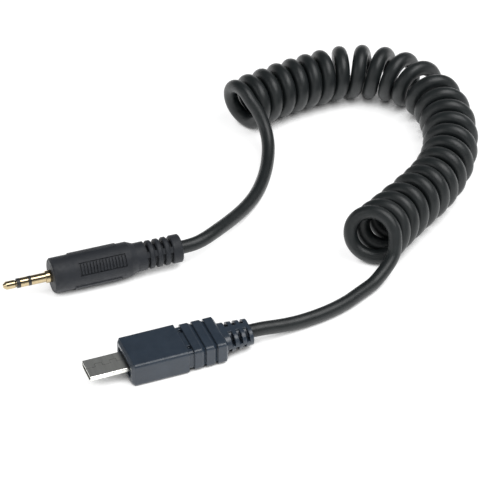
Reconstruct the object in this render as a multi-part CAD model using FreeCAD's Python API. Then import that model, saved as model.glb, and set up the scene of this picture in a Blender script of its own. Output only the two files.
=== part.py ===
import FreeCAD, Part
import math
import os

# Coiled release lead: a round three-contact plug and a flat camera plug on one curly cord.
# Millimetres, +Z up. The origin is the middle of the flat plug's underside, +X runs from
# the contacts towards the cord, and everything lies on the plane z = 0.

Vector = FreeCAD.Vector
X_AXIS = Vector(1, 0, 0)
Y_AXIS = Vector(0, 1, 0)
Z_AXIS = Vector(0, 0, 1)

# Clearances
mould_fit = 0.03
contact_fit = 0.035
latch_fit = 0.12

# Cord
cord_d = 3.5
cord_r = cord_d / 2
wire_d = 0.9

# Coil: mean radius of the curls, their start angle from the top, and the lie of the axis
curl_r = 5.6
curl_flare = 0.9
curl_phase = 7.0
axis_start = Vector(50.0, 84.2, 0)
axis_heading = 17.5
# The coil's axis is a row of bends: their lengths, turns to the left in degrees, and curls
bend_lengths = (28.0, 25.0, 10.2, 36.3, 8.5, 21.4)
bend_turns = (-15.0, -67.5, -25.0, -49.3, -9.0, 1.8)
bend_curls = (6.45, 4.5, 1.36, 6.41, 1.98, 4.31)
lean_middle = -3.5
lean_end = 25.0
yaw_start = 4.5
yaw_end = 21.6
first_curl_angle = 45.0
last_curl_angle = -86.0
least_gap_wanted = 0.4

# Leads: where the cord lies from each plug to the coil, after a straight length at each end
exit_run = 3.2
coil_run = 4.4
jack_lead_route = (
    Vector(21.4, 36.45, 4.65),
    Vector(25.2, 38.65, 4.4),
    Vector(30.9, 42.9, 3.2),
    Vector(36.8, 47.7, 2.1),
    Vector(42.2, 52.8, 1.75),
    Vector(46.8, 59.0, 1.75),
    Vector(50.3, 65.2, 2.05),
    Vector(52.1, 70.7, 3.4),
)
flat_lead_route = (
    Vector(42.3, 1.85, 1.75),
    Vector(37.3, 0.95, 1.75),
    Vector(32.3, 0.4, 1.9),
    Vector(27.4, 0.1, 2.45),
)
floor_landing = Vector(53.2, 6.35, 1.75)
landing_heading = -154.0

# Round plug: distances along its axis from the front face of the grip, towards the cord
jack_face = Vector(-19.35, 36.6, 0)
jack_yaw = -1.56
jack_roll = -38.0
jack_body_r = 4.5
jack_shoulder = 20.2
jack_neck_r = 3.7
jack_neck_start = 22.0
jack_neck_end = 24.5
relief_ring_count = 3
relief_ring_pitch = 2.05
relief_ring_width = 1.3
relief_ring_r = 3.65
relief_core_r = 2.5
relief_bar_width = 1.5
relief_bar_r = 3.3
jack_end_ring_width = 2.6
pad_start = 5.2
pad_end = 17.4
pad_half_width = 2.1
pad_proud = 0.25
grip_start = 6.9
grip_rib_count = 14
grip_rib_pitch = 0.83
grip_rib_width = 0.42
grip_rib_length = 2.8
grip_recess = 0.28
grip_frame = 0.3

# Round plug's contacts: radii and stations
pin_r = 1.25
pin_length = 11.0
collar_r = 1.6
collar_length = 1.5
rod_r = 0.35
tip_tube_r = 0.62
ring_tube_r = 0.86
ring_sleeve_r = 1.02
tip_front_r = 0.45
tip_body_r = 1.08
tip_neck_r = 0.85
tip_nose_length = 0.8
tip_neck_length = 0.45
sleeve_band_end = 5.3
rear_band_end = 6.1
ring_band_end = 8.1
front_band_end = 9.05
anchor_r = 2.6
anchor_start = 0.9
anchor_end = 1.6
rear_flange_r = 1.8
rear_flange_end = 2.4
tag_thickness = 0.3
ring_tag_r = 1.55
tip_tag_r = 1.15
tag_width = 1.3
tag_length = 1.9
washer_r = 1.8
washer_width = 0.7
rod_overrun = 0.5
strap_width = 1.8
strap_thickness = 0.35
crimp_width = 2.0
crimp_wall = 0.35
jack_crimp_start = 13.0
jack_jacket_start = 11.5
jack_mould_r = 3.3
jack_mould_end = 16.0
solder_r = 0.55
solder_length = 1.3
sleeve_joint_x = 6.6
tip_angle = 60.0
ring_angle = -60.0
wire_spread = 0.95

# Flat plug's mould: distances from the block's front edge, towards the cord
block_length = 24.1
block_width = 12.17
block_height = 6.48
block_round = 0.9
nose_length = 0.65
nose_inset = 0.65
groove_back = 10.2
groove_depth = 0.65
# Each rib: how far its start is from the block's rear, its flat length and its slope's length
ribs = ((8.7, 1.95, 0.9), (5.65, 2.0, 0.8), (2.65, 2.2, 0.45))
rib_inset = 0.25
rib_foot_inset = 0.7
pit_width = 1.2
pit_length = 0.9
pit_depth = 0.55
pit_offset = 3.25
pit_from_groove = 0.55
recess_width = 9.2
recess_height = 3.6
recess_depth = 0.6
recess_round = 1.2
flat_relief_length = 7.45
flat_relief_width = 9.2
flat_relief_height = 5.0
flat_relief_end_width = 7.7
flat_relief_end_height = 4.7
relief_slot_width = 0.95
relief_slot_pitch = 1.97
relief_slot_count = 3
upper_slot_start = 2.05
lower_slot_start = 1.1
relief_spine_width = 1.9
relief_slot_floor = 0.3
relief_web = 0.5

# Flat plug's shell, contacts and latches
shell_width = 6.85
shell_height = 1.8
shell_bottom_width = 5.4
shell_side_height = 0.85
shell_corner = 0.35
shell_wall = 0.25
shell_exposed = 10.39
seam_gap = 0.07
# The folded seam along the shell's wide side: distance from the mouth, offset from the middle
seam_steps = ((2.4, 1.1), (4.25, 0.0), (6.25, 1.25), (7.85, 0.15))
insulator_setback = 0.5
insulator_length = 12.6
insulator_top = -0.05
tongue_depth = 5.9
contact_count = 5
contact_pitch = 0.65
contact_width = 0.38
contact_thickness = 0.14
contact_top = -0.03
contact_setback = 0.3
contact_bump = 0.1
contact_bump_start = 0.6
contact_bump_length = 1.2
contact_tail = 1.7
latch_offset = 2.15
latch_width = 0.5
latch_thickness = 0.22
latch_top = -0.3
latch_from_mouth = 2.84
latch_length = 7.3
latch_root_height = 0.6
latch_hook_proud = 0.45
latch_hook_length = 1.25
latch_hook_flat = 0.3
latch_slot_top = 0.12
window_margin = 0.25
can_width = 8.4
can_height = 4.4
can_round = 0.8
can_wall = 0.25
can_start = 2.55
can_length = 8.0
can_overlap = 0.3
flat_mould_start = 0.6
flat_mould_width = 9.4
flat_mould_height = 5.1
flat_mould_step = 13.0
flat_mould_rear_width = 5.0
flat_mould_rear_height = 4.6
flat_mould_round = 1.2
flat_mould_end = 17.5
flat_jacket_start = 14.05
flat_crimp_start = 14.6
bead_r = 0.32
bead_length = 1.1

# Places that follow from the sizes above
front_x = -block_length / 2
rear_x = block_length / 2
mid_z = block_height / 2
jack_length = jack_neck_end + relief_ring_count * relief_ring_pitch
jack_length += relief_ring_pitch - relief_ring_width + jack_end_ring_width
jack_axis_z = jack_body_r
flat_exit_x = rear_x + flat_relief_length
mouth_x = front_x - shell_exposed
insulator_x = mouth_x + insulator_setback
insulator_end = insulator_x + insulator_length
tongue_end = mouth_x + tongue_depth
contact_end = insulator_end + contact_tail
shell_end = contact_end + contact_fit
latch_x = mouth_x + latch_from_mouth
latch_end = latch_x + latch_length
flat_jacket_x = front_x + flat_jacket_start
pin_tip = -(collar_length + pin_length)


def unit(vector):
    length = vector.Length
    return Vector(vector.x / length, vector.y / length, vector.z / length)


def box(x0, x1, y0, y1, z0, z1):
    return Part.makeBox(x1 - x0, y1 - y0, z1 - z0, Vector(x0, y0, z0))


def tube_x(x0, x1, radius, y=0.0, z=0.0):
    return Part.makeCylinder(radius, x1 - x0, Vector(x0, y, z), X_AXIS)


def ring_x(x0, x1, outer, inner):
    return tube_x(x0, x1, outer).cut(tube_x(x0 - 1, x1 + 1, inner))


def turned(profile):
    """A solid turned about the X axis from (station, radius) corners."""
    points = [Vector(x, 0, r) for x, r in profile]
    face = Part.Face(Part.makePolygon(points + points[:1]))
    return face.revolve(Vector(0, 0, 0), X_AXIS, 360)


def rounded_outline(x, width, height, radius, z):
    """A closed wire: a rectangle across X with rounded corners, centred on y = 0."""
    half_y = width / 2
    half_z = height / 2
    edges = []
    corners = ((1, 1, 0), (-1, 1, 90), (-1, -1, 180), (1, -1, 270))
    joints = []
    for side_y, side_z, start in corners:
        centre = Vector(x, side_y * (half_y - radius), z + side_z * (half_z - radius))
        ends = []
        for angle in (start, start + 45, start + 90):
            turn = math.radians(angle)
            ends.append(centre + Vector(0, radius * math.cos(turn), radius * math.sin(turn)))
        joints.append(ends)
    for index, ends in enumerate(joints):
        edges.append(Part.Arc(ends[0], ends[1], ends[2]).toShape())
        following = joints[(index + 1) % len(joints)][0]
        edges.append(Part.LineSegment(ends[2], following).toShape())
    return Part.Wire(edges)


def rounded_block(x0, size0, x1, size1, z):
    """A ruled block between two rounded rectangles, each (width, height, radius)."""
    first = rounded_outline(x0, size0[0], size0[1], size0[2], z)
    second = rounded_outline(x1, size1[0], size1[1], size1[2], z)
    return Part.makeLoft([first, second], True, True)


def fused(shapes):
    result = shapes[0]
    for shape in shapes[1:]:
        result = result.fuse(shape)
    return result.removeSplitter()


# Cord paths

def arc_edge(start, corner, end):
    """An arc tangent to start-corner and corner-end, which are equally long."""
    reach = (corner - start).Length
    cosine = (end - start).Length / 2 / reach
    middle = (start + corner * (2 * cosine) + end) * (0.5 / (1 + cosine))
    return Part.Arc(start, middle, end).toShape()


def biarc(start, start_way, end, end_way):
    """Two arcs that leave start along start_way and reach end along end_way."""
    across = end - start
    ways = start_way + end_way
    bend = 2 * (1 - start_way.dot(end_way))
    along = across.dot(ways)
    reach = (math.sqrt(along * along + bend * across.dot(across)) - along) / bend
    first_corner = start + start_way * reach
    second_corner = end - end_way * reach
    joint = (first_corner + second_corner) * 0.5
    return [arc_edge(start, first_corner, joint), arc_edge(joint, second_corner, end)]


def rounded_path(points, name):
    """Straight runs joined by tangent arcs; the least radius is printed."""
    edges = []
    radii = []
    last = points[0]
    for before, corner, after in zip(points, points[1:], points[2:]):
        way_in = unit(corner - before)
        way_out = unit(after - corner)
        half_turn = way_in.getAngle(way_out) / 2
        reach = 0.45 * min((corner - before).Length, (after - corner).Length)
        start = corner - way_in * reach
        end = corner + way_out * reach
        edges.append(Part.LineSegment(last, start).toShape())
        edges.append(arc_edge(start, corner, end))
        radii.append(reach / math.tan(half_turn))
        last = end
    edges.append(Part.LineSegment(last, points[-1]).toShape())
    print(name, "radii", [round(radius, 1) for radius in radii])
    return edges


def swept(edges, diameter, name):
    """A round tube along the edges; its volume is set against section times length."""
    path = Part.Wire(edges)
    first = edges[0]
    way = first.tangentAt(first.FirstParameter)
    start = first.valueAt(first.FirstParameter)
    ring = Part.Wire(Part.Circle(start, way, diameter / 2).toShape())
    solid = path.makePipeShell([ring], True, False)
    expected = math.pi * diameter * diameter / 4 * path.Length
    print(name, "length", round(path.Length, 1), "volume ratio", round(solid.Volume / expected, 4))
    return solid


# Coil

axis_bends = tuple(zip(bend_lengths, bend_turns, bend_curls))
curl_total = sum(bend_curls)


def axis_distance(curl):
    """How far along the coil's axis the strand is after so many curls."""
    distance = 0.0
    left = curl
    for bend in axis_bends:
        length, turn, curls = bend
        part = left if bend is axis_bends[-1] else min(left, curls)
        distance += part * length / curls
        left -= part
        if left <= 0:
            break
    return distance


def axis_place(distance):
    """Place and heading of the coil's axis, a row of tangent arcs."""
    place = Vector(axis_start)
    heading = math.radians(axis_heading)
    left = distance
    for bend in axis_bends:
        length, turn, curls = bend
        curving = math.radians(turn) / length
        part = left if bend is axis_bends[-1] else min(left, length)
        ahead = heading + curving * part
        place.x += (math.sin(ahead) - math.sin(heading)) / curving
        place.y -= (math.cos(ahead) - math.cos(heading)) / curving
        heading = ahead
        left -= part
        if left <= 0:
            break
    return place, heading


def strand(curl):
    """The cord's centre after so many curls; the curls lean and spread at the near end."""
    near = (axis_distance(curl - 1 / 3) + axis_distance(curl) + axis_distance(curl + 1 / 3)) / 3
    place, heading = axis_place(near)
    share = min(max(curl / curl_total, 0), 1)
    radius = curl_r + curl_flare * share ** 12
    lean = math.radians(4 * lean_middle * share * (1 - share) + lean_end * share ** 6)
    heading += math.radians(yaw_start * (1 - share) ** 4 + yaw_end * share ** 6)
    angle = math.radians(curl_phase - 360 * curl)
    side = Vector(math.sin(heading), -math.cos(heading), 0)
    rise = Vector(-math.cos(heading) * math.sin(lean), -math.sin(heading) * math.sin(lean),
                  math.cos(lean))
    centre = place + Vector(0, 0, radius * math.cos(lean) + cord_r)
    return centre + rise * (radius * math.cos(angle)) + side * (radius * math.sin(angle))


def strand_way(curl):
    step = 0.0005
    return unit(strand(curl + step) - strand(curl - step))


whole_curls = math.floor(curl_total)
first_curl = (curl_phase - first_curl_angle) / 360
last_curl = whole_curls + (curl_phase - last_curl_angle) / 360
landing_way = Vector(math.cos(math.radians(landing_heading)),
                     math.sin(math.radians(landing_heading)), 0)
coil_start = strand(first_curl) - strand_way(first_curl) * cord_d
coil_end = floor_landing + landing_way * cord_d


def coil_edges():
    """The curls as biarcs of a quarter turn, with a straight diameter of cord at each end."""
    quarters = math.ceil((last_curl - first_curl) * 4)
    step = (last_curl - first_curl) / quarters
    curls = [first_curl + step * index for index in range(quarters + 1)]
    edges = [Part.LineSegment(coil_start, strand(first_curl)).toShape()]
    for here, after in zip(curls, curls[1:]):
        edges += biarc(strand(here), strand_way(here), strand(after), strand_way(after))
    edges += biarc(strand(last_curl), strand_way(last_curl), floor_landing, landing_way)
    edges.append(Part.LineSegment(floor_landing, coil_end).toShape())
    return edges


def print_least_gap(edges):
    """The least gap of the coil to itself, on points along its centre line."""
    path = Part.Wire(edges)
    spacing = 0.3
    points = path.discretize(Distance=spacing)
    turn = 2 * math.pi * curl_r
    skip = int(0.6 * turn / spacing)
    reach = int(1.6 * turn / spacing)
    least = turn
    for index, point in enumerate(points):
        for other in points[index + skip:index + reach]:
            least = min(least, point.distanceToPoint(other))
    print("coil least gap to itself", round(least - cord_d, 2), "wanted over", least_gap_wanted)


# Round plug, built along X with its front face at x = 0 and its axis on z = 0

def jack_place(shape):
    shape.rotate(Vector(0, 0, 0), X_AXIS, jack_roll)
    shape.rotate(Vector(0, 0, 0), Z_AXIS, jack_yaw)
    shape.translate(jack_face + Vector(0, 0, jack_axis_z))
    return shape


def jack_point(x, y=0.0, z=0.0):
    turn = math.radians(jack_yaw)
    along = Vector(math.cos(turn), math.sin(turn), 0)
    across = Vector(-math.sin(turn), math.cos(turn), 0)
    return jack_face + Vector(0, 0, jack_axis_z + z) + along * x + across * y


ring_tag_x = rear_flange_end + contact_fit
washer_x = ring_tag_x + tag_thickness + contact_fit
tip_tag_x = washer_x + washer_width + contact_fit
rod_end_x = tip_tag_x + tag_thickness + rod_overrun
collar_room = anchor_start - mould_fit


def jack_tip_contact():
    neck_x = -front_band_end
    body_x = neck_x - tip_neck_length
    nose_x = pin_tip + tip_nose_length
    return turned((
        (pin_tip, 0), (pin_tip, tip_front_r), (nose_x, tip_body_r), (body_x, tip_body_r),
        (neck_x - tip_neck_length / 3, tip_neck_r), (neck_x, tip_neck_r), (neck_x, rod_r),
        (rod_end_x, rod_r), (rod_end_x, 0),
    ))


def jack_tip_insulator():
    inner = rod_r + contact_fit
    front = contact_fit - front_band_end
    back = -ring_band_end - contact_fit
    end = washer_x - contact_fit
    return turned((
        (front, inner), (front, pin_r), (back, pin_r), (back, tip_tube_r), (end, tip_tube_r),
        (end, inner),
    ))


def jack_ring_contact():
    inner = tip_tube_r + contact_fit
    return turned((
        (-ring_band_end, inner), (-ring_band_end, pin_r), (-rear_band_end, pin_r),
        (-rear_band_end, ring_tube_r), (ring_tag_x + tag_thickness, ring_tube_r),
        (ring_tag_x + tag_thickness, inner),
    ))


def jack_ring_insulator():
    inner = ring_tube_r + contact_fit
    front = contact_fit - rear_band_end
    back = -sleeve_band_end - contact_fit
    flange_x = anchor_end + contact_fit
    return turned((
        (front, inner), (front, pin_r), (back, pin_r), (back, ring_sleeve_r),
        (flange_x, ring_sleeve_r), (flange_x, rear_flange_r), (rear_flange_end, rear_flange_r),
        (rear_flange_end, inner),
    ))


crimp_inner = cord_r + mould_fit
crimp_outer = crimp_inner + crimp_wall
strap_top = crimp_inner + crimp_wall / 4


def crimp_strap(x0, crimp_x):
    """A strap under the wires that ends in a ring squeezed round the cord's jacket."""
    end = crimp_x + crimp_width
    half = strap_width / 2
    strap = box(x0, end, -half, half, -crimp_outer, -crimp_inner)
    return [strap.cut(tube_x(x0 - 1, end + 1, strap_top)),
            ring_x(crimp_x, end, crimp_outer, crimp_inner)]


def jack_sleeve_contact():
    inner = ring_sleeve_r + contact_fit
    barrel = turned((
        (-sleeve_band_end, inner), (-sleeve_band_end, pin_r), (-collar_length, pin_r),
        (-collar_length, collar_r), (anchor_start, collar_r), (anchor_start, anchor_r),
        (anchor_end, anchor_r), (anchor_end, inner),
    ))
    return fused([barrel, *crimp_strap(anchor_start, jack_crimp_start)])


def solder_tag(x, radius, bore, angle):
    """A stamped ring with a tail, seated round a contact's tube."""
    half = tag_width / 2
    tail = box(x, x + tag_length, -half, half, radius - tag_thickness, radius)
    tag = fused([tube_x(x, x + tag_thickness, radius), tail])
    tag = tag.cut(tube_x(x - 1, x + tag_length + 1, bore))
    tag.rotate(Vector(0, 0, 0), X_AXIS, angle)
    return tag


def jack_washer():
    """The insulating washer between the tags, notched for the ring tag's tail."""
    washer = ring_x(washer_x, washer_x + washer_width, washer_r, rod_r + contact_fit)
    half = tag_width / 2 + contact_fit
    foot = ring_tag_r - tag_thickness - contact_fit
    notch = box(washer_x - 1, washer_x + washer_width + 1, -half, half, foot, washer_r + 1)
    washer = washer.cut(notch)
    washer.rotate(Vector(0, 0, 0), X_AXIS, ring_angle)
    return washer


def around(radius, angle):
    """Offsets across the axis for a place at this radius, turned from the top."""
    turn = math.radians(angle)
    return -radius * math.sin(turn), radius * math.cos(turn)


# Each soldered joint of the round plug: wire, start of the solder, offsets across the axis
# and the angle of the wire's place in the jacket
jack_joints = (
    ("tip", tip_tag_x + tag_length, around(tip_tag_r - tag_thickness / 2, tip_angle), tip_angle),
    ("ring", ring_tag_x + tag_length, around(ring_tag_r - tag_thickness / 2, ring_angle),
     ring_angle),
    ("sleeve", sleeve_joint_x, (0.0, solder_r - strap_top), 180.0),
)


def jack_solder():
    drops = []
    for name, x, place, angle in jack_joints:
        start = x + contact_fit
        drops.append(tube_x(start, start + solder_length, solder_r, *place))
    return Part.makeCompound(drops)


def wire_run(start, end, name):
    """An insulated wire from its soldered joint to the cord's jacket."""
    easing = X_AXIS * ((end.x - start.x) * 0.3)
    return swept(rounded_path([start, start + easing, end - easing, end], name), wire_d, name)


def jack_wires():
    wires = {}
    for name, x, place, angle in jack_joints:
        start = Vector(x + solder_length + 2 * contact_fit, *place)
        end = Vector(jack_jacket_start - contact_fit, *around(wire_spread, angle))
        wires["jack_wire_" + name] = wire_run(start, end, "jack_wire_" + name)
    return wires


def jack_inner_mould(parts):
    """Hard plastic round the back of the contacts, their wires and the crimp."""
    tag_end = tip_tag_x + tag_thickness
    room = turned((
        (0, 0), (0, anchor_r), (anchor_end, anchor_r), (anchor_end, rear_flange_r),
        (rear_flange_end, rear_flange_r), (rear_flange_end, washer_r),
        (washer_x + washer_width, washer_r), (washer_x + washer_width, tip_tag_r),
        (tag_end, tip_tag_r), (tag_end, rod_r), (rod_end_x, rod_r), (rod_end_x, 0),
    ))
    crimp = tube_x(jack_crimp_start, jack_crimp_start + crimp_width, crimp_outer)
    mould = tube_x(anchor_start, jack_mould_end, jack_mould_r)
    mould = mould.cut([room, crimp])
    return mould.cut([parts[name] for name in parts])


def jack_overmould():
    """Grip and bend relief in one moulding, around the inner mould and the jacket."""
    ring_start = jack_neck_end + relief_ring_pitch - relief_ring_width
    front_round = 0.35
    body = turned((
        (0, 0), (0, jack_body_r - front_round), (front_round, jack_body_r),
        (jack_shoulder, jack_body_r), (jack_neck_start, jack_neck_r),
        (jack_neck_end, jack_neck_r), (jack_neck_end, 0),
    ))
    pieces = [body, tube_x(jack_neck_end - 1, jack_length, relief_core_r)]
    edge = 0.25
    for index in range(relief_ring_count + 1):
        x0 = ring_start + index * relief_ring_pitch
        width = relief_ring_width if index < relief_ring_count else jack_end_ring_width
        pieces.append(turned((
            (x0, 0), (x0, relief_ring_r - edge), (x0 + edge, relief_ring_r),
            (x0 + width - edge, relief_ring_r), (x0 + width, relief_ring_r - edge),
            (x0 + width, 0),
        )))
    bar_half = relief_bar_width / 2
    last_ring = ring_start + relief_ring_count * relief_ring_pitch + edge
    bars = box(jack_neck_end - edge, last_ring, -relief_bar_r, relief_bar_r, -bar_half, bar_half)
    pieces.append(bars)
    pad_reach = jack_body_r + pad_proud
    pads = tube_x(pad_start, pad_end, pad_reach).common(
        box(pad_start, pad_end, -pad_half_width, pad_half_width, -pad_reach, pad_reach))
    pieces.append(pads)
    mould = fused(pieces)
    # Two panels of ribs, one on each side
    panel_length = grip_rib_count * grip_rib_pitch
    floor_r = jack_body_r - grip_recess
    shell = tube_x(grip_start - grip_frame, grip_start + panel_length + grip_frame,
                   jack_body_r + 1)
    shell = shell.cut(tube_x(grip_start - 1, grip_start + panel_length + 1, floor_r))
    half = grip_rib_length / 2
    reach = jack_body_r + 2
    band = box(grip_start - grip_frame, grip_start + panel_length + grip_frame,
               -reach, reach, -half - grip_frame, half + grip_frame)
    panels = shell.common(band)
    ribs = []
    for index in range(grip_rib_count):
        x0 = grip_start + (index + 0.5) * grip_rib_pitch - grip_rib_width / 2
        rib = ring_x(x0, x0 + grip_rib_width, jack_body_r, floor_r - grip_frame)
        ribs.append(rib.common(box(x0, x0 + grip_rib_width, -reach, reach, -half, half)))
    mould = mould.cut(panels)
    mould = mould.fuse(ribs).removeSplitter()
    cavity = [tube_x(-1, collar_room, collar_r + mould_fit)]
    cavity.append(tube_x(collar_room - contact_fit, jack_mould_end + mould_fit,
                         jack_mould_r + mould_fit))
    cavity.append(tube_x(jack_mould_end - 1, jack_length + 1, cord_r + mould_fit))
    return mould.cut(fused(cavity))


def build_jack():
    parts = {}
    parts["jack_tip_contact"] = jack_tip_contact()
    parts["jack_tip_insulator"] = jack_tip_insulator()
    parts["jack_ring_contact"] = jack_ring_contact()
    parts["jack_ring_insulator"] = jack_ring_insulator()
    parts["jack_sleeve_contact"] = jack_sleeve_contact()
    ring_bore = ring_tube_r + contact_fit
    parts["jack_ring_tag"] = solder_tag(ring_tag_x, ring_tag_r, ring_bore, ring_angle)
    parts["jack_washer"] = jack_washer()
    tip_bore = rod_r + contact_fit
    parts["jack_tip_tag"] = solder_tag(tip_tag_x, tip_tag_r, tip_bore, tip_angle)
    parts["jack_solder"] = jack_solder()
    parts.update(jack_wires())
    parts["jack_cord_end"] = tube_x(jack_jacket_start, jack_length, cord_r)
    parts["jack_inner_mould"] = jack_inner_mould(parts)
    parts["jack_overmould"] = jack_overmould()
    return {name: jack_place(shape) for name, shape in parts.items()}


# Flat plug, built with the middle of its height on z = 0

def flat_place(shape):
    shape.translate(Vector(0, 0, mid_z))
    return shape


def shell_bar(x0, x1, inset):
    """A solid bar with the shell's outline, smaller by the inset."""
    half_top = shell_width / 2 - shell_corner
    half_bottom = shell_bottom_width / 2 - shell_corner / 2
    top = shell_height / 2 - shell_corner
    side = shell_height / 2 - shell_side_height
    bottom = shell_corner - shell_height / 2
    outline = ((-half_top, top), (half_top, top), (half_top, side), (half_bottom, bottom),
               (-half_bottom, bottom), (-half_top, side))
    corners = [Vector(x0, y, z) for y, z in outline]
    wire = Part.makePolygon(corners + corners[:1]).makeOffset2D(shell_corner - inset)
    return Part.Face(wire).extrude(Vector(x1 - x0, 0, 0))


def multipin_shell():
    """The folded steel shell, with its seam on the wide side and two latch windows."""
    shell = shell_bar(mouth_x, shell_end, 0)
    tools = [shell_bar(mouth_x - 1, shell_end + 1, shell_wall)]
    half = seam_gap / 2
    x = mouth_x - 1
    y = 0.0
    for distance, offset in (*seam_steps, (shell_end - mouth_x + 1, 0.0)):
        end = mouth_x + distance
        tools.append(box(x - half, end + half, y - half, y + half, 0, shell_height))
        low = min(y, offset)
        high = max(y, offset)
        tools.append(box(end - half, end + half, low - half, high + half, 0, shell_height))
        x = end
        y = offset
    for side in (-1, 1):
        y = side * latch_offset
        reach = latch_width / 2 + window_margin
        tools.append(box(latch_x - window_margin, latch_x + latch_hook_length + window_margin,
                         y - reach, y + reach, -shell_height, latch_top - latch_thickness))
    return shell.cut(tools)


def contact_places():
    middle = (contact_count - 1) / 2
    return [(index - middle) * contact_pitch for index in range(contact_count)]


def wired_places():
    """Every second contact has a wire."""
    return contact_places()[::2]


def multipin_insulator():
    """The black insulator: a floor under the contacts and a block behind the opening."""
    inset = shell_wall + mould_fit
    body = shell_bar(insulator_x, insulator_end, inset)
    opening = box(insulator_x - 1, tongue_end, -shell_width, shell_width, insulator_top,
                  shell_height)
    tools = [opening]
    half = contact_width / 2 + contact_fit
    low = contact_top - contact_thickness - contact_fit
    for y in contact_places():
        tools.append(box(insulator_x + contact_setback - contact_fit, insulator_end + 1,
                         y - half, y + half, low, contact_top + contact_fit))
    half = latch_width / 2 + latch_fit
    for side in (-1, 1):
        y = side * latch_offset
        tools.append(box(latch_x - window_margin, latch_end + latch_fit, y - half, y + half,
                         -shell_height, latch_slot_top))
        root_x = latch_end - latch_thickness - latch_fit
        top = latch_top + latch_root_height + latch_fit
        tools.append(box(root_x, latch_end + latch_fit, y - half, y + half, 0, top))
    return body.cut(tools)


def side_profile(points, y, width):
    """A bar across X with the (x, z) outline given, centred on y."""
    corners = [Vector(x, y - width / 2, z) for x, z in points]
    face = Part.Face(Part.makePolygon(corners + corners[:1]))
    return face.extrude(Vector(0, width, 0))


def multipin_contact(y):
    x = insulator_x + contact_setback
    low = contact_top - contact_thickness
    bump = x + contact_bump_start
    bump_end = bump + contact_bump_length
    ease = contact_bump_length / 4
    return side_profile((
        (x, low), (contact_end, low), (contact_end, contact_top), (bump_end, contact_top),
        (bump_end - ease, contact_top + contact_bump), (bump + ease, contact_top + contact_bump),
        (bump, contact_top), (x, contact_top),
    ), y, contact_width)


def multipin_latch(y):
    """A spring arm with a hook at its front end and an upright root at the other."""
    low = latch_top - latch_thickness
    tip = -shell_height / 2 - latch_hook_proud
    hook_end = latch_x + latch_hook_length
    root_top = latch_top + latch_root_height
    return side_profile((
        (latch_x, latch_top), (latch_end - latch_thickness, latch_top),
        (latch_end - latch_thickness, root_top), (latch_end, root_top), (latch_end, low),
        (hook_end, low), (hook_end, tip), (hook_end - latch_hook_flat, tip), (latch_x, low),
    ), y, latch_width)


def multipin_solder():
    beads = []
    start = contact_end - bead_length - contact_fit
    for y in wired_places():
        beads.append(tube_x(start, start + bead_length, bead_r, y,
                            contact_top + contact_fit + bead_r))
    return Part.makeCompound(beads)


def multipin_wires():
    """Three conductors; the middle one enters the jacket on top."""
    wires = {}
    angles = (120.0, 0.0, 240.0)
    height = contact_top + contact_fit + wire_d / 2
    for number, (y, angle) in enumerate(zip(wired_places(), angles), 1):
        start = Vector(shell_end + contact_fit, y, height)
        end = Vector(flat_jacket_x - contact_fit, *around(wire_spread, angle))
        name = "multipin_wire_" + str(number)
        wires[name] = wire_run(start, end, name)
    return wires


def multipin_can():
    """The folded can behind the shell, with its strap and crimp round the jacket."""
    x0 = front_x + can_start
    x1 = x0 + can_length
    outer = (can_width, can_height, can_round)
    double = 2 * can_wall
    inner = (can_width - double, can_height - double, can_round - can_wall)
    can = rounded_block(x0, outer, x1, outer, 0)
    can = can.cut(rounded_block(x0 - 1, inner, x1 + 1, inner, 0))
    return fused([can, *crimp_strap(x1 - can_overlap, front_x + flat_crimp_start)])


def flat_mould_envelope(clearance):
    """The inner mould's outside: a wide front and a narrow rear round the crimp."""
    double = 2 * clearance
    wide = (flat_mould_width + double, flat_mould_height + double, flat_mould_round)
    slim = (flat_mould_rear_width + double, flat_mould_rear_height + double, flat_mould_round)
    step = front_x + flat_mould_step
    return fused([
        rounded_block(front_x + flat_mould_start - clearance, wide, step + clearance, wide, 0),
        rounded_block(step - 1, slim, front_x + flat_mould_end + clearance, slim, 0),
    ])


def multipin_inner_mould(parts):
    room = shell_bar(mouth_x, shell_end, -mould_fit)
    crimp_x = front_x + flat_crimp_start
    crimp = tube_x(crimp_x, crimp_x + crimp_width, crimp_outer)
    jacket = tube_x(flat_jacket_x, flat_exit_x, cord_r + mould_fit)
    mould = flat_mould_envelope(0).cut([room, crimp, jacket])
    inside = [parts["multipin_can"]] + [parts[name] for name in parts if "wire" in name]
    return mould.cut(inside)


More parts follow.
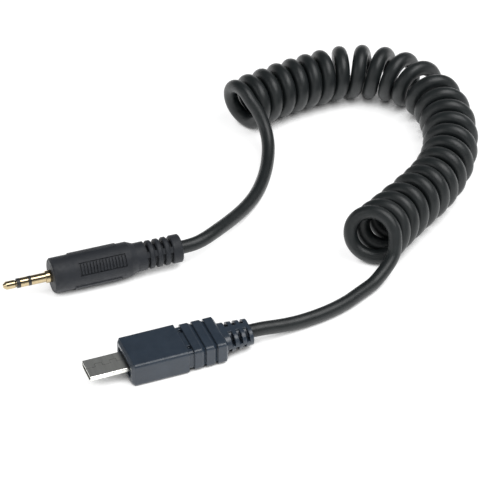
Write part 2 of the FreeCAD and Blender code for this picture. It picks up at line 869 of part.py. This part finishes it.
def multipin_overmould():
    """Housing and bend relief in one moulding."""
    full = (block_width, block_height, block_round)
    nose = (block_width - 2 * nose_inset, block_height - 2 * nose_inset, block_round)
    foot = (block_width - 2 * rib_foot_inset, block_height - 2 * rib_foot_inset, block_round)
    groove = (block_width - 2 * groove_depth, block_height - 2 * groove_depth, block_round)
    flat = (block_width - 2 * rib_inset, block_height - 2 * rib_inset, block_round)
    groove_x = rear_x - groove_back
    pieces = [rounded_block(front_x - nose_length, nose, front_x, full, 0),
              rounded_block(front_x, full, groove_x, full, 0),
              rounded_block(groove_x, groove, rear_x - ribs[0][0], groove, 0)]
    for start, length, slope in ribs:
        x0 = rear_x - start
        pieces.append(rounded_block(x0, flat, x0 + length, flat, 0))
        pieces.append(rounded_block(x0 + length, flat, x0 + length + slope, foot, 0))
    for (start, length, slope), following in zip(ribs, ribs[1:]):
        x0 = rear_x - start + length + slope
        pieces.append(rounded_block(x0, foot, rear_x - following[0], foot, 0))
    wide = (flat_relief_width, flat_relief_height, flat_relief_height / 2 - mould_fit)
    slim = (flat_relief_end_width, flat_relief_end_height, flat_relief_end_height / 2 - mould_fit)
    relief = rounded_block(rear_x, wide, flat_exit_x, slim, 0)
    mould = fused([*pieces, relief.cut(relief_slots())])
    pits = []
    pit_x = groove_x + pit_from_groove
    floor = block_height / 2 - groove_depth - pit_depth
    for side in (-1, 1):
        y = side * pit_offset
        pits.append(box(pit_x, pit_x + pit_length, y - pit_width / 2, y + pit_width / 2,
                        floor, block_height))
    recess = (recess_width, recess_height, recess_round)
    face_x = front_x - nose_length
    hollow = [rounded_block(face_x - 1, recess, face_x + recess_depth, recess, 0),
              shell_bar(mouth_x, shell_end, -mould_fit),
              flat_mould_envelope(mould_fit),
              tube_x(flat_jacket_x, flat_exit_x + 1, cord_r + mould_fit)]
    return mould.cut(pits + hollow)


def relief_slots():
    """Slots across the bend relief, upper and lower in turn, each side of a spine."""
    slots = []
    reach = flat_relief_width
    for start, low, high in ((upper_slot_start, relief_slot_floor, reach),
                             (lower_slot_start, -reach, -relief_slot_floor)):
        for index in range(relief_slot_count):
            x0 = rear_x + start + index * relief_slot_pitch - relief_slot_width / 2
            slots.append(box(x0, x0 + relief_slot_width, -reach, reach, low, high))
    half = relief_spine_width / 2
    kept = [box(rear_x - 1, flat_exit_x + 1, -half, half, -2 * reach, 2 * reach),
            tube_x(rear_x - 1, flat_exit_x + 1, cord_r + relief_web)]
    return [slot.cut(kept) for slot in slots]


def build_flat():
    parts = {}
    parts["multipin_shell"] = multipin_shell()
    parts["multipin_insulator"] = multipin_insulator()
    for number, y in enumerate(contact_places(), 1):
        parts["multipin_contact_" + str(number)] = multipin_contact(y)
    parts["multipin_latch_right"] = multipin_latch(-latch_offset)
    parts["multipin_latch_left"] = multipin_latch(latch_offset)
    parts["multipin_solder"] = multipin_solder()
    parts.update(multipin_wires())
    parts["multipin_can"] = multipin_can()
    parts["multipin_cord_end"] = tube_x(flat_jacket_x, flat_exit_x, cord_r)
    parts["multipin_inner_mould"] = multipin_inner_mould(parts)
    parts["multipin_overmould"] = multipin_overmould()
    return {name: flat_place(shape) for name, shape in parts.items()}


def build_cord():
    cord = {}
    edges = coil_edges()
    print_least_gap(edges)
    cord["cord_coil"] = swept(edges, cord_d, "cord_coil")
    route = [jack_point(jack_length), jack_point(jack_length + exit_run), *jack_lead_route,
             coil_start - strand_way(first_curl) * coil_run, coil_start]
    cord["cord_jack_lead"] = swept(rounded_path(route, "cord_jack_lead"), cord_d,
                                   "cord_jack_lead")
    route = [coil_end, coil_end + landing_way * exit_run, *flat_lead_route,
             Vector(flat_exit_x + exit_run, 0, mid_z), Vector(flat_exit_x, 0, mid_z)]
    cord["cord_flat_lead"] = swept(rounded_path(route, "cord_flat_lead"), cord_d,
                                   "cord_flat_lead")
    return cord


def main():
    os.makedirs("parts", exist_ok=True)
    nodes = {**build_cord(), **build_jack(), **build_flat()}
    for name, shape in nodes.items():
        shape.exportStep("parts/" + name + ".step")
        volume = sum(solid.Volume for solid in shape.Solids)
        print(name, len(shape.Solids), "solids, volume", round(volume, 2), shape.isValid())


main()
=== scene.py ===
import math

import bpy
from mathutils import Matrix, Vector


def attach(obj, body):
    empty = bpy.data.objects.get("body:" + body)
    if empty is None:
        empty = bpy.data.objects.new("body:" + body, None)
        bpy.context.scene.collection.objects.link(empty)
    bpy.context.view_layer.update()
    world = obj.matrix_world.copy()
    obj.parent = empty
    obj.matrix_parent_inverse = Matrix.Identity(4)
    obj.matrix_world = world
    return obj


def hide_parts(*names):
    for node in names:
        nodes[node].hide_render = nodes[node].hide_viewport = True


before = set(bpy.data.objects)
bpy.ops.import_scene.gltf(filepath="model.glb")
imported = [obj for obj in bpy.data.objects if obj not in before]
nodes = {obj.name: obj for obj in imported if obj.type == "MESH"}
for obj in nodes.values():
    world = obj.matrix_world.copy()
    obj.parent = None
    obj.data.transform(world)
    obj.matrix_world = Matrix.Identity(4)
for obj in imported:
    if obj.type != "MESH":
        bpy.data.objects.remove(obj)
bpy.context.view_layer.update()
scene = bpy.context.scene
scene.view_settings.view_transform = "Standard"

MM = 0.001

# Camera: the photograph's viewpoint
camera_place = Vector((-171.40, -489.72, 444.60)) * MM
camera_target = Vector((32.25, 37.5, 0.0)) * MM
camera_data = bpy.data.cameras.new("camera")
camera_data.lens = 208.3
camera_data.sensor_width = 36.0
camera_data.clip_start = 0.01
camera_data.clip_end = 10.0
camera = bpy.data.objects.new("camera", camera_data)
camera.location = camera_place
camera.rotation_mode = "QUATERNION"
camera.rotation_quaternion = (camera_target - camera_place).to_track_quat("-Z", "Y")
scene.collection.objects.link(camera)
scene.camera = camera


# Cord: one spline from the round plug, through the coil, to the flat plug (millimetres)

cord_d = 3.5
cord_r = cord_d / 2
curl_r = 5.6
curl_flare = 0.9
curl_phase = 7.0
axis_start = Vector((50.0, 84.2, 0.0))
axis_heading = 17.5
bend_lengths = (28.0, 25.0, 10.2, 36.3, 8.5, 21.4)
bend_turns = (-15.0, -67.5, -25.0, -49.3, -9.0, 1.8)
bend_curls = (6.45, 4.5, 1.36, 6.41, 1.98, 4.31)
axis_bends = tuple(zip(bend_lengths, bend_turns, bend_curls))
lean_middle = -3.5
lean_end = 25.0
yaw_start = 4.5
yaw_end = 21.6
# How late the flare, and the lean and yaw at the coil's end, set in, and how early the yaw
# at its start fades
flare_power = 12
end_power = 6
start_power = 4
first_curl_angle = 45.0
last_curl_angle = -86.0
curl_total = sum(bend_curls)
first_curl = (curl_phase - first_curl_angle) / 360
last_curl = math.floor(curl_total) + (curl_phase - last_curl_angle) / 360
points_per_turn = 16
# The spline runs inside its control points, so the curls' points lie this much further out
spread = 8 / (6 + 2 * math.cos(2 * math.pi / points_per_turn))
# Where the curls lie against each other the cord is drawn this much thicker, within the
# same outside
swelling = 0.15
swell_in = 0.6
swell_out = 1.0
swell_stop = 0.4
# Near the coil's ends the curls close up: curl, reach in curls, shift along the axis, turn
# and lean
closings = ((1.35, 1.3, -0.28, 0.0, 0.0), (21.7, 1.3, 0.5, 3.5, 2.0),
            (23.2, 2.0, 0.85, 6.0, 4.5))

jack_lead_points = (
    (14.64, 35.67, 4.5),
    (17.84, 35.59, 4.5),
    (21.4, 36.45, 4.65),
    (25.2, 38.65, 4.4),
    (30.9, 42.9, 3.2),
    (36.8, 47.7, 2.1),
    (42.2, 52.8, 1.75),
    (46.8, 59.0, 1.75),
    (50.3, 65.2, 2.05),
    (52.7, 70.7, 3.4),
    (53.3, 74.9, 5.9),
    (52.5, 78.1, 9.0),
)
flat_lead_points = (
    (63.57, 12.39, 4.47),
    (56.93, 8.17, 1.75),
    (53.2, 6.35, 1.75),
    (50.05, 4.82, 1.75),
    (47.18, 3.41, 1.75),
    (42.3, 1.85, 1.75),
    (37.3, 0.95, 1.75),
    (32.3, 0.4, 1.9),
    (27.4, 0.1, 2.45),
    (22.7, 0.0, 3.24),
    (19.5, 0.0, 3.24),
)


def axis_distance(curl):
    """How far along the coil's axis the strand is after so many curls."""
    distance = 0.0
    left = curl
    for bend in axis_bends:
        length, turn, curls = bend
        part = left if bend is axis_bends[-1] else min(left, curls)
        distance += part * length / curls
        left -= part
        if left <= 0:
            break
    return distance


def axis_place(distance):
    """Place and heading of the coil's axis, a row of tangent arcs."""
    place = axis_start.copy()
    heading = math.radians(axis_heading)
    left = distance
    for bend in axis_bends:
        length, turn, curls = bend
        curving = math.radians(turn) / length
        part = left if bend is axis_bends[-1] else min(left, length)
        ahead = heading + curving * part
        place.x += (math.sin(ahead) - math.sin(heading)) / curving
        place.y -= (math.cos(ahead) - math.cos(heading)) / curving
        heading = ahead
        left -= part
        if left <= 0:
            break
    return place, heading


def swell(curl):
    """The share of the swelling at this curl, which eases in and out at the coil's ends."""
    rising = min(max(curl / swell_in, 0), 1)
    falling = min(max((last_curl - curl - swell_stop) / swell_out, 0), 1)
    return rising * falling


def closing(curl):
    """The shift, turn and lean that close the curls up near the coil's ends."""
    shift = 0.0
    turn = 0.0
    tilt = 0.0
    for middle_curl, reach, most_shift, most_turn, most_tilt in closings:
        share = max(1 - ((curl - middle_curl) / reach) ** 2, 0) ** 2
        shift += most_shift * share
        turn += most_turn * share
        tilt += most_tilt * share
    return shift, turn, tilt


def strand(curl):
    """The cord's place after so many curls; the curls lean and spread at the near end."""
    third = 1 / 3
    near = (axis_distance(curl - third) + axis_distance(curl) + axis_distance(curl + third)) / 3
    shift, turn, tilt = closing(curl)
    place, heading = axis_place(near)
    place += Vector((math.cos(heading), math.sin(heading), 0)) * shift
    share = min(max(curl / curl_total, 0), 1)
    thicker = cord_r * swelling * swell(curl)
    radius = curl_r + curl_flare * share ** flare_power - thicker
    late = share ** end_power
    lean = math.radians(4 * lean_middle * share * (1 - share) + lean_end * late + tilt)
    heading += math.radians(yaw_start * (1 - share) ** start_power + yaw_end * late + turn)
    angle = math.radians(curl_phase - 360 * curl)
    side = Vector((math.sin(heading), -math.cos(heading), 0))
    rise = Vector((-math.cos(heading) * math.sin(lean), -math.sin(heading) * math.sin(lean),
                   math.cos(lean)))
    centre = place + Vector((0, 0, radius * math.cos(lean) + cord_r + thicker))
    return centre + (rise * math.cos(angle) + side * math.sin(angle)) * radius * spread


def make_cord():
    count = round((last_curl - first_curl) * points_per_turn)
    step = (last_curl - first_curl) / count
    curls = [first_curl + step * index for index in range(count + 1)]
    places = [Vector(point) for point in jack_lead_points]
    places += [strand(curl) for curl in curls]
    places += [Vector(point) for point in flat_lead_points]
    thickness = [1.0] * len(jack_lead_points)
    thickness += [1 + swelling * swell(curl) for curl in curls]
    thickness += [1.0] * len(flat_lead_points)
    curve = bpy.data.curves.new("cord", "CURVE")
    curve.dimensions = "3D"
    spline = curve.splines.new("NURBS")
    spline.points.add(len(places) - 1)
    for point, place, factor in zip(spline.points, places, thickness):
        point.co = (*(place * MM), 1.0)
        point.radius = cord_r * factor * MM
    spline.order_u = 3
    spline.use_endpoint_u = True
    curve.resolution_u = 5
    # The points carry the cord's own radius, so the bevel's is one
    curve.bevel_depth = 1.0
    curve.bevel_resolution = 7
    curve.use_fill_caps = True
    cord = bpy.data.objects.new("cord", curve)
    scene.collection.objects.link(cord)
    return cord


cord = make_cord()
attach(cord, "plugs_and_cord")
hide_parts("cord_jack_lead", "cord_coil", "cord_flat_lead")


# Materials: how fine their patterns are, in waves to the metre

blotch_scale = 260.0
gloss_scale = 900.0
marks_scale = 1600.0
plated_strength = 0.08
plated_depth = 0.000004


def new_material(name):
    material = bpy.data.materials.new(name)
    material.use_nodes = True
    tree = material.node_tree
    shader = tree.nodes["Principled BSDF"]
    return material, tree, shader


def link(tree, output, socket):
    tree.links.new(output, socket)


def noise(tree, scale, detail=3.0, roughness=0.5, stretch=None):
    coords = tree.nodes.new("ShaderNodeTexCoord")
    texture = tree.nodes.new("ShaderNodeTexNoise")
    texture.inputs["Scale"].default_value = scale
    texture.inputs["Detail"].default_value = detail
    texture.inputs["Roughness"].default_value = roughness
    source = coords.outputs["Object"]
    if stretch is not None:
        mapping = tree.nodes.new("ShaderNodeMapping")
        mapping.inputs["Scale"].default_value = stretch
        link(tree, source, mapping.inputs["Vector"])
        source = mapping.outputs["Vector"]
    link(tree, source, texture.inputs["Vector"])
    return texture.outputs["Fac"]


def ramp(tree, source, low, high, start=0.3, end=0.7):
    """Colours between low and high as source goes from start to end."""
    colours = tree.nodes.new("ShaderNodeValToRGB")
    elements = colours.color_ramp.elements
    elements[0].position = start
    elements[0].color = (*low, 1.0)
    elements[1].position = end
    elements[1].color = (*high, 1.0)
    link(tree, source, colours.inputs["Fac"])
    return colours.outputs["Color"]


def grey_range(tree, source, low, high):
    spread_node = tree.nodes.new("ShaderNodeMapRange")
    spread_node.inputs["From Min"].default_value = 0.3
    spread_node.inputs["From Max"].default_value = 0.7
    spread_node.inputs["To Min"].default_value = low
    spread_node.inputs["To Max"].default_value = high
    link(tree, source, spread_node.inputs["Value"])
    return spread_node.outputs["Result"]


def bump(tree, source, strength, distance, shader, edge=0.0):
    """Fine relief; with an edge, the light also rounds the piece's edges by that radius."""
    node = tree.nodes.new("ShaderNodeBump")
    if edge:
        rounded = tree.nodes.new("ShaderNodeBevel")
        rounded.samples = 8
        rounded.inputs["Radius"].default_value = edge
        link(tree, rounded.outputs["Normal"], node.inputs["Normal"])
    node.inputs["Strength"].default_value = strength
    node.inputs["Distance"].default_value = distance
    link(tree, source, node.inputs["Height"])
    link(tree, node.outputs["Normal"], shader.inputs["Normal"])


def moulded(name, low, high, rough_low, rough_high, grain=9000.0, strength=0.25,
            depth=0.00002, gleam=0.5, edge=0.0):
    """A moulded or extruded plastic: mottled colour, uneven gloss and a fine grain."""
    material, tree, shader = new_material(name)
    blotch = noise(tree, blotch_scale, 4.0)
    link(tree, ramp(tree, blotch, low, high), shader.inputs["Base Color"])
    gloss = noise(tree, gloss_scale, 5.0)
    link(tree, grey_range(tree, gloss, rough_low, rough_high), shader.inputs["Roughness"])
    shader.inputs["Specular IOR Level"].default_value = gleam
    bump(tree, noise(tree, grain), strength, depth, shader, edge)
    return material


def plated(name, low, high, rough_low, rough_high, stretch):
    """A plated metal with fine drawing marks along one axis."""
    material, tree, shader = new_material(name)
    marks = noise(tree, marks_scale, 6.0, 0.6, stretch)
    link(tree, ramp(tree, marks, low, high), shader.inputs["Base Color"])
    link(tree, grey_range(tree, marks, rough_low, rough_high), shader.inputs["Roughness"])
    shader.inputs["Metallic"].default_value = 1.0
    bump(tree, marks, plated_strength, plated_depth, shader)
    return material


def drawn_wire(name, colour):
    shade = tuple(channel * 0.85 for channel in colour)
    return moulded(name, shade, colour, 0.35, 0.5, grain=5000.0, strength=0.1)


cord_material = moulded("cord_jacket", (0.006, 0.0082, 0.0087), (0.0092, 0.0122, 0.0128),
                        0.4, 0.48, grain=7000.0, depth=0.00001, gleam=0.38)
jack_mould_material = moulded("jack_mould", (0.0105, 0.0125, 0.0165), (0.014, 0.0165, 0.0215),
                              0.55, 0.68, gleam=0.4, edge=0.0001)
flat_mould_material = moulded("flat_mould", (0.0155, 0.025, 0.039), (0.0215, 0.0335, 0.0505),
                              0.3, 0.44, grain=5000.0, strength=0.45, edge=0.0003)
insulator_material = moulded("black_insulator", (0.006, 0.006, 0.006), (0.01, 0.01, 0.01),
                             0.35, 0.5)
inner_material = moulded("inner_mould", (0.28, 0.28, 0.24), (0.36, 0.36, 0.32), 0.4, 0.55)
gold_material = plated("gold_plate", (0.34, 0.27, 0.16), (0.46, 0.38, 0.24), 0.06, 0.11,
                       (8.0, 1.0, 1.0))
shell_material = plated("shell_plate", (0.68, 0.68, 0.64), (0.76, 0.76, 0.715), 0.28, 0.34,
                        (1.0, 0.12, 0.12))
spring_material = plated("spring_strip", (0.5, 0.5, 0.48), (0.62, 0.62, 0.6), 0.2, 0.3,
                         (0.12, 1.0, 1.0))
solder_material = plated("solder_tin", (0.5, 0.51, 0.52), (0.62, 0.63, 0.64), 0.25, 0.45,
                         (1.0, 1.0, 1.0))
red_material = drawn_wire("wire_red", (0.35, 0.02, 0.015))
white_material = drawn_wire("wire_white", (0.65, 0.65, 0.62))
black_material = drawn_wire("wire_black", (0.012, 0.012, 0.012))

node_materials = {
    "cord_coil": cord_material,
    "cord_jack_lead": cord_material,
    "cord_flat_lead": cord_material,
    "jack_tip_contact": gold_material,
    "jack_tip_insulator": insulator_material,
    "jack_ring_contact": gold_material,
    "jack_ring_insulator": insulator_material,
    "jack_sleeve_contact": gold_material,
    "jack_ring_tag": gold_material,
    "jack_washer": insulator_material,
    "jack_tip_tag": gold_material,
    "jack_solder": solder_material,
    "jack_wire_tip": red_material,
    "jack_wire_ring": white_material,
    "jack_wire_sleeve": black_material,
    "jack_cord_end": cord_material,
    "jack_inner_mould": inner_material,
    "jack_overmould": jack_mould_material,
    "multipin_shell": shell_material,
    "multipin_insulator": insulator_material,
    "multipin_latch_right": spring_material,
    "multipin_latch_left": spring_material,
    "multipin_solder": solder_material,
    "multipin_wire_1": red_material,
    "multipin_wire_2": white_material,
    "multipin_wire_3": black_material,
    "multipin_can": shell_material,
    "multipin_cord_end": cord_material,
    "multipin_inner_mould": inner_material,
    "multipin_overmould": flat_mould_material,
}
for number in range(1, 6):
    node_materials["multipin_contact_" + str(number)] = gold_material

cord.data.materials.append(cord_material)
for name, node in nodes.items():
    node.data.materials.clear()
    node.data.materials.append(node_materials[name])


# Stage: floor, world and lamps

floor_half = 3.0
floor_drop = 0.00002
floor_bounce = 0.9
floor_seen = 0.24
floor_glow = 0.89
# Painted shade on the floor: where it is this open to the sky, its glow is out, and where it is
# this open, full
glow_out = 0.16
glow_full = 0.4
painted_shade_reach = 0.02
room_colour = (0.93, 0.96, 1.0, 1)
room_strength = 0.16
# How high in the sky the reflected white backdrop starts to fade, and ends
backdrop_low = 0.02
backdrop_high = 0.35


def seen_rays(tree, kinds):
    """1 for rays of these kinds, so that what they light up shows and doesn't light."""
    path = tree.nodes.new("ShaderNodeLightPath")
    total = path.outputs[kinds[0]]
    for kind in kinds[1:]:
        either = tree.nodes.new("ShaderNodeMath")
        either.operation = "MAXIMUM"
        link(tree, total, either.inputs[0])
        link(tree, path.outputs[kind], either.inputs[1])
        total = either.outputs[0]
    return total


def make_floor():
    mesh = bpy.data.meshes.new("floor")
    half = floor_half
    mesh.from_pydata([(-half, -half, 0), (half, -half, 0), (half, half, 0), (-half, half, 0)],
                     [], [(0, 1, 2, 3)])
    floor = bpy.data.objects.new("floor", mesh)
    floor.location.z = -floor_drop
    scene.collection.objects.link(floor)
    material, tree, shader = new_material("floor")
    # The floor lights the object as white paper does, and shows its shadow faintly
    path = tree.nodes.new("ShaderNodeLightPath")
    shade = tree.nodes.new("ShaderNodeMixRGB")
    shade.inputs[1].default_value = (floor_bounce, floor_bounce, floor_bounce, 1)
    shade.inputs[2].default_value = (floor_seen, floor_seen, floor_seen, 1)
    link(tree, path.outputs["Is Camera Ray"], shade.inputs[0])
    link(tree, shade.outputs[0], shader.inputs["Base Color"])
    shader.inputs["Roughness"].default_value = 0.9
    shader.inputs["Specular IOR Level"].default_value = 0.0
    # The white backdrop's glow goes out under the coil and lights nothing; this dimming by
    # occlusion is painted shade, a darker floor under and inside the coil in place of its
    # shadow
    painted_shade_occlusion = tree.nodes.new("ShaderNodeAmbientOcclusion")
    painted_shade_occlusion.samples = 8
    painted_shade_occlusion.inputs["Distance"].default_value = painted_shade_reach
    openness = tree.nodes.new("ShaderNodeMapRange")
    openness.inputs["From Min"].default_value = glow_out
    openness.inputs["From Max"].default_value = glow_full
    openness.inputs["To Max"].default_value = floor_glow
    link(tree, painted_shade_occlusion.outputs["AO"], openness.inputs["Value"])
    glow = tree.nodes.new("ShaderNodeMath")
    glow.operation = "MULTIPLY"
    link(tree, seen_rays(tree, ("Is Camera Ray", "Is Glossy Ray", "Is Transmission Ray")),
         glow.inputs[0])
    link(tree, openness.outputs["Result"], glow.inputs[1])
    shader.inputs["Emission Color"].default_value = (1, 1, 1, 1)
    link(tree, glow.outputs[0], shader.inputs["Emission Strength"])
    mesh.materials.append(material)
    return floor


def make_world():
    world = bpy.data.worlds.new("world")
    scene.world = world
    world.use_nodes = True
    tree = world.node_tree
    tree.nodes.clear()
    output = tree.nodes.new("ShaderNodeOutputWorld")
    white = tree.nodes.new("ShaderNodeBackground")
    white.inputs["Color"].default_value = (1, 1, 1, 1)
    soft = tree.nodes.new("ShaderNodeBackground")
    soft.inputs["Color"].default_value = room_colour
    soft.inputs["Strength"].default_value = room_strength
    # Gloss shows the white backdrop low down and the grey room above it
    coords = tree.nodes.new("ShaderNodeTexCoord")
    axes = tree.nodes.new("ShaderNodeSeparateXYZ")
    link(tree, coords.outputs["Generated"], axes.inputs[0])
    low = tree.nodes.new("ShaderNodeMapRange")
    low.inputs["From Min"].default_value = backdrop_low
    low.inputs["From Max"].default_value = backdrop_high
    low.inputs["To Min"].default_value = 1.0
    low.inputs["To Max"].default_value = 0.0
    link(tree, axes.outputs["Z"], low.inputs["Value"])
    gloss = tree.nodes.new("ShaderNodeMath")
    gloss.operation = "MULTIPLY"
    link(tree, seen_rays(tree, ("Is Glossy Ray",)), gloss.inputs[0])
    link(tree, low.outputs["Result"], gloss.inputs[1])
    share = tree.nodes.new("ShaderNodeMath")
    share.operation = "MAXIMUM"
    link(tree, seen_rays(tree, ("Is Camera Ray", "Is Transmission Ray")), share.inputs[0])
    link(tree, gloss.outputs[0], share.inputs[1])
    mix = tree.nodes.new("ShaderNodeMixShader")
    link(tree, share.outputs[0], mix.inputs[0])
    link(tree, soft.outputs[0], mix.inputs[1])
    link(tree, white.outputs[0], mix.inputs[2])
    link(tree, mix.outputs[0], output.inputs["Surface"])


def area_lamp(name, place, target, width, height, power):
    lamp = bpy.data.lights.new(name, "AREA")
    lamp.shape = "RECTANGLE"
    lamp.size = width
    lamp.size_y = height
    lamp.energy = power
    item = bpy.data.objects.new(name, lamp)
    item.location = place
    item.rotation_mode = "QUATERNION"
    item.rotation_quaternion = (Vector(target) - Vector(place)).to_track_quat("-Z", "Y")
    scene.collection.objects.link(item)


floor = make_floor()
make_world()
middle = (0.03, 0.04, 0.0)
area_lamp("overhead", (0.37, -0.18, 0.82), middle, 0.75, 0.6, 8.5)
area_lamp("left", (-0.8, -0.1, 0.5), middle, 0.4, 0.6, 1.8)
area_lamp("front", (-0.35, -0.9, 0.45), middle, 0.9, 0.5, 1.5)
